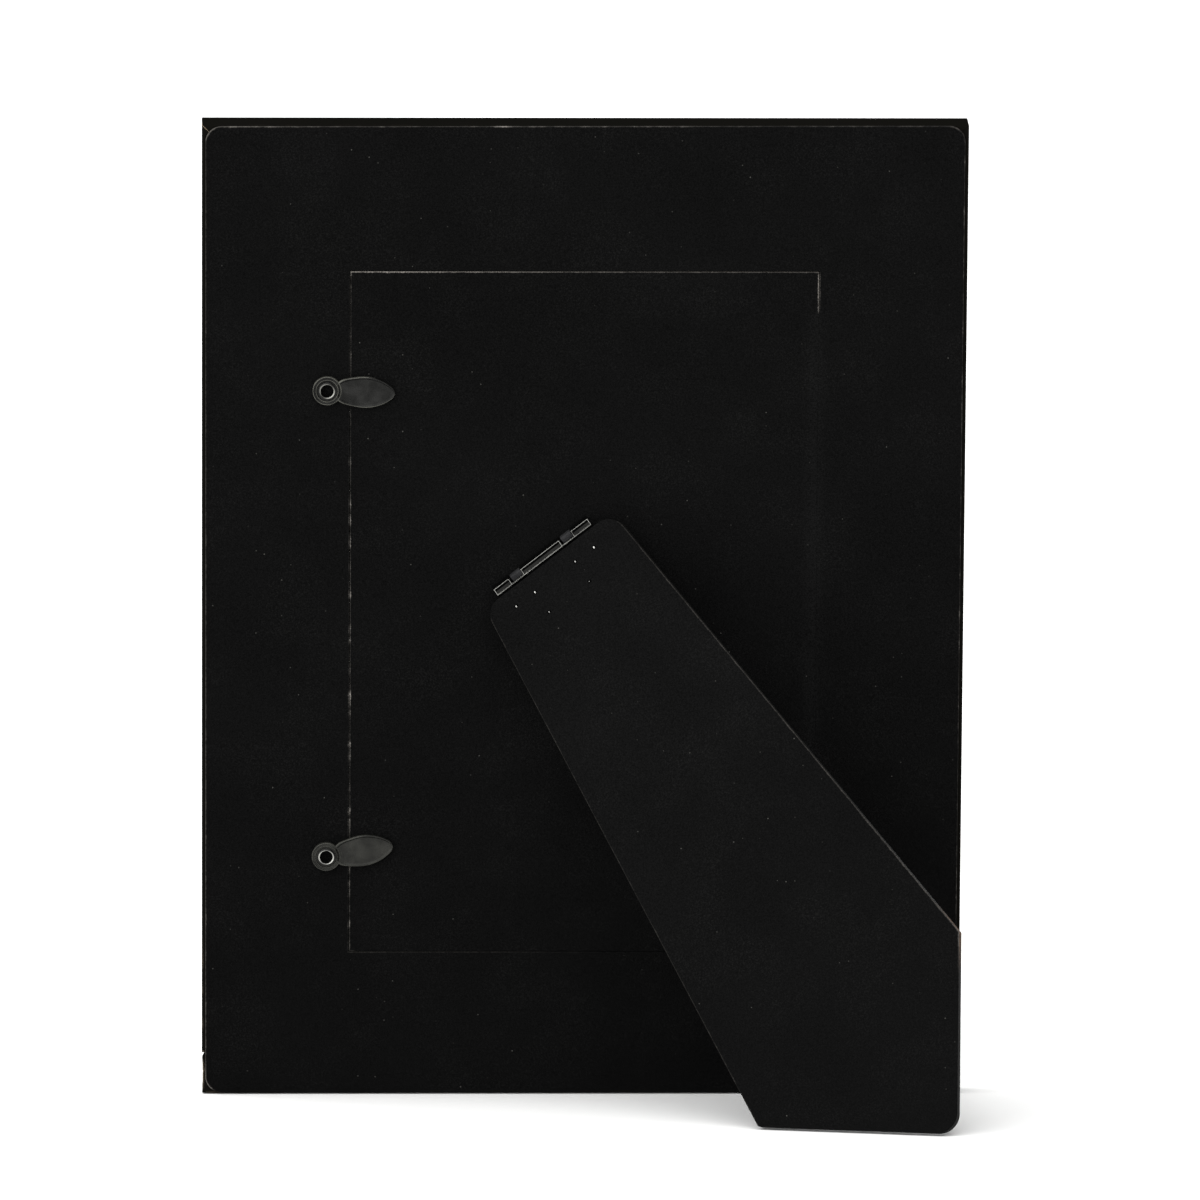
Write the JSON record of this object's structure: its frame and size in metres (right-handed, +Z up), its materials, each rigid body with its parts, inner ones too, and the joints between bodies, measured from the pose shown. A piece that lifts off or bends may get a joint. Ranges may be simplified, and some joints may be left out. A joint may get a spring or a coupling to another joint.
{
  "type": "photo frame",
  "caption": "Easel back photo frame with a black flocked back, a door held by turn buttons, and a hinged leg that folds flat and stands the picture upright or on its side.",
  "frame": {"origin": "on the floor that the frame stands on, below the middle of its box", "axes": "+Z up, picture towards -Y, easel leg towards +Y; the frame leans back towards +Y"},
  "size_m": [0.168, 0.0778, 0.2184],
  "materials": {
    "moulding": "satin",
    "nail_steel": "satin",
    "glass": "polished",
    "photo_paper": "satin",
    "filler_card": "matte",
    "door_board": "matte",
    "back_flock": "matte",
    "hinge_steel": "satin",
    "button_metal": "satin",
    "eyelet_metal": "satin",
    "leg_board": "matte",
    "leg_flock": "matte",
    "leg_lining": "matte"
  },
  "bodies": {
    "frame": {"top_rail": "moulding", "bottom_rail": "moulding", "left_rail": "moulding", "right_rail": "moulding", "corner_v_nails": "nail_steel", "glass_pane": "glass", "photo_insert": "photo_paper", "filler_card": "filler_card", "door_board": "door_board", "back_flock": "back_flock", "door_hinge_leaf": "hinge_steel", "upper_eyelet": "eyelet_metal", "lower_eyelet": "eyelet_metal"},
    "leg": {"leg_board": "leg_board", "leg_flock": "leg_flock", "leg_lining": "leg_lining", "leg_hinge_leaf": "hinge_steel"},
    "upper_button": {"upper_button": "button_metal"},
    "lower_button": {"lower_button": "button_metal"}
  },
  "joints": [
    {"name": "leg_fold", "type": "hinge", "parent": "frame", "child": "leg", "pos_m": [0.0092, -0.01344, 0.12164], "axis": [-0.7869, 0.0752, 0.6124], "range_deg": [0, 24]},
    {"name": "upper_button_turn", "type": "hinge", "parent": "frame", "child": "upper_button", "pos_m": [0.0565, -0.00946, 0.15853], "axis": [0, 0.9925, -0.1219], "continuous": true},
    {"name": "lower_button_turn", "type": "hinge", "parent": "frame", "child": "lower_button", "pos_m": [0.0565, -0.02231, 0.05392], "axis": [0, 0.9925, -0.1219], "continuous": true}
  ]
}
